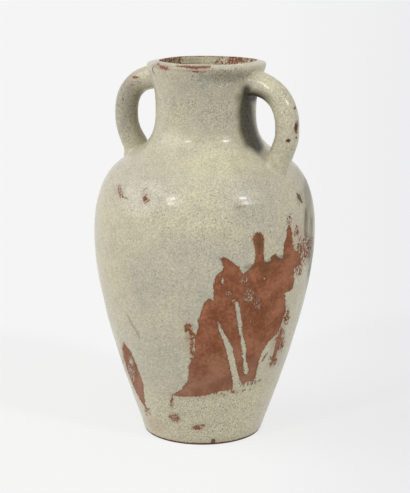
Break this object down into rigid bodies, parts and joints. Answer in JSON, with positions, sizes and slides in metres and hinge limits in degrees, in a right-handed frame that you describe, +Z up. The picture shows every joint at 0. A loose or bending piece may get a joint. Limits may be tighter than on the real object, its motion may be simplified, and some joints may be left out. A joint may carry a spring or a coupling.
{
  "type": "amphora vase",
  "caption": "Tall amphora jar with rod handles from neck to shoulder, short neck, rounded lip and narrow flat foot; pale crackled glaze worn through to red clay.",
  "frame": {"origin": "centre of the flat underside of the foot", "axes": "+Z up along the jar, +X towards the right handle in the main view, and -Y towards the side that the main view shows"},
  "size_m": [0.2926, 0.2926, 0.5],
  "materials": {
    "glaze": "glossy pale grey-green crackle glaze over red earthenware, worn through to bare clay in patches"
  },
  "bodies": {
    "root": {"lower_body": "glaze", "shoulder_section": "glaze", "neck_section": "glaze", "lip_ring": "glaze", "right_handle": "glaze", "right_handle_upper_fillet": "glaze", "right_handle_lower_fillet": "glaze", "left_handle": "glaze", "left_handle_upper_fillet": "glaze", "left_handle_lower_fillet": "glaze"}
  },
  "joints": []
}
